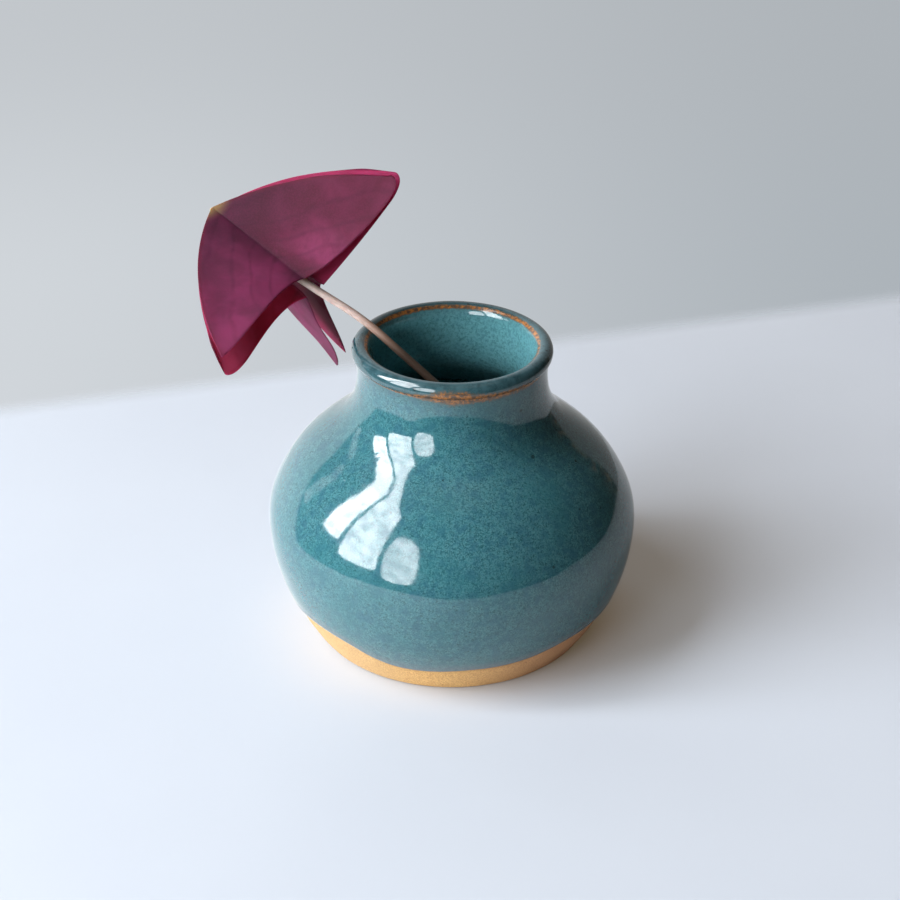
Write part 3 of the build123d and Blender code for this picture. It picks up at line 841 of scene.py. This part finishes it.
def pane_material(name, brightness):
    """Bluish daylight, a little uneven."""
    material = bpy.data.materials.new(name)
    s = Shader(material)
    cloud = s.noise(s.add("TexCoord").outputs["Object"], 0.16, 2.0)
    strength = s.step(cloud, 0.3, 0.7, brightness * 0.66, brightness * 1.25)
    emission = s.add("Emission", {"Color": (0.93, 0.965, 1.0, 1.0), "Strength": strength})
    s.add("OutputMaterial", {"Surface": emission.outputs[0]})
    return material


def make_window():
    """The window's panes, which are the only lamps."""
    steps = 13
    for i, ((az0, az1), bottom, tops, brightness, roundness) in enumerate(WINDOW_PANES):
        x, y = np.meshgrid(np.linspace(-1, 1, steps), np.linspace(-1, 1, steps))
        x, y = x * np.sqrt(1 - roundness * y * y / 2), y * np.sqrt(1 - roundness * x * x / 2)
        across, up = (x + 1) / 2, (y + 1) / 2
        az = np.radians(az0 + (az1 - az0) * across)
        el = np.radians(bottom + (tops[0] + (tops[1] - tops[0]) * across - bottom) * up)
        away = np.stack([np.cos(az) * np.cos(el), np.sin(az) * np.cos(el), np.sin(el)], -1)
        points = away * WINDOW_DISTANCE
        points[..., 2] += WINDOW_CENTRE_Z * MM
        mesh = bpy.data.meshes.new(f"window_{i}")
        mesh.from_pydata(points.reshape(-1, 3).tolist(), [], grid_faces(steps, steps).tolist())
        mesh.materials.append(pane_material(f"window_{i}", brightness))
        pane = bpy.data.objects.new(f"window_{i}", mesh)
        bpy.context.scene.collection.objects.link(pane)
        pane.visible_camera = False


def make_world():
    """A pale backdrop for the camera; for reflections and fill, a wall behind the vase, brighter to the left,
    and a dim room with a warm ceiling and some clutter to the right."""
    world = bpy.data.worlds.new("room")
    bpy.context.scene.world = world
    s = Shader(world)
    direction = s.add("TexCoord").outputs["Generated"]
    xyz = s.add("SeparateXYZ", {0: direction}).outputs
    pale = s.mix(s.step(xyz[0], -0.24, 0.24), rgb(209, 214, 219), rgb(172, 179, 185))
    pale = s.mix(s.step(xyz[2], -0.42, -0.30, 0.0, 0.45), pale, rgb(176, 180, 184))
    azimuth = s.maths("ARCTAN2", xyz[1], xyz[0])
    left_edge = s.maths("ADD", azimuth, s.maths("MULTIPLY", xyz[2], 0.62))
    bright = s.maths("MULTIPLY", s.step(azimuth, math.radians(44), math.radians(47)),
                     s.step(left_edge, math.radians(156), math.radians(160), 1.0, 0.0))
    bright = s.maths("MULTIPLY", bright, s.step(xyz[2], 0.7, 0.9, 1.0, 0.0))
    wall = s.mix(s.step(azimuth, math.radians(50), math.radians(146)), WALL_RIGHT, WALL_LEFT)
    room = s.mix(s.step(xyz[2], 0.86, 0.95), DIM_ROOM, CEILING)
    clutter = s.maths("MULTIPLY", s.step(azimuth, math.radians(34), math.radians(42)),
                      s.step(s.noise(direction, 0.05, 2.0), 0.5, 0.62))
    clutter = s.maths("MULTIPLY", clutter, s.step(xyz[2], 0.3, 0.45, 1.0, 0.0))
    room = s.mix(clutter, room, CLUTTER)
    room = s.mix(bright, room, wall)
    shown = s.mix(s.add("LightPath").outputs["Is Camera Ray"], room, pale)
    background = s.add("Background", {"Color": shown, "Strength": 1.0})
    s.add("OutputWorld", {"Surface": background.outputs[0]})


# ---- making everything --------------------------------------------------------------------------------
glaze = glaze_material("teal_glaze", 0.0)
# the inside glaze is a copy painted paler, as painted light inside the mouth
glaze_painted_light_inside = glaze_material("teal_glaze_inside_painted_light", 0.4)
for piece, node, slot in ((make_clay(clay_material()), "stoneware_body", "bare_clay"),
                          (make_outside_glaze(glaze), "exterior_glaze", "outside_glaze"),
                          (make_lip_glaze(glaze), "lip_glaze", "lip_glaze"),
                          (make_inside_glaze(glaze_painted_light_inside), "interior_glaze", "inside_glaze")):
    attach(piece, "vase")
    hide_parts(node)

for piece, node, slot in ((make_stalk(stalk_material()), "stem", "stalk"),
                          (make_hub(hub_material()), "leaf_hub", "hub")):
    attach(piece, "sprig")
    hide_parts(node)

outer_skin = leaf_material("leaf_outer", rgb(86, 38, 60), rgb(120, 48, 82), rgb(44, 23, 34),
                           rgb(66, 25, 38), rgb(74, 25, 40))
# painted light and shade: two copies of the inner skin, a brighter one painted as light shining through the
# front and lower leaflets, and a darker one painted as shade on the back leaflet's inner face
inner_lit = leaf_material("leaf_inner", rgb(128, 46, 70), rgb(164, 58, 94), rgb(100, 38, 54),
                          rgb(128, 46, 70), rgb(150, 50, 84))
inner_painted_shade = leaf_material("leaf_inner_painted_shade", rgb(124, 38, 68), rgb(146, 48, 86), rgb(100, 30, 50),
                           rgb(120, 36, 64), rgb(130, 40, 72))
inner_skins = {"leaflet_front": inner_lit, "leaflet_lower": inner_lit, "leaflet_back": inner_painted_shade}
for number, (name, spec) in enumerate(LEAFLETS.items()):
    blade = make_leaflet(name, spec, outer_skin, inner_skins[name], 60 + number)
    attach(blade, name)
    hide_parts(name)

make_camera()
make_table()
make_window()
make_world()
bpy.context.scene.view_settings.view_transform = "Standard"
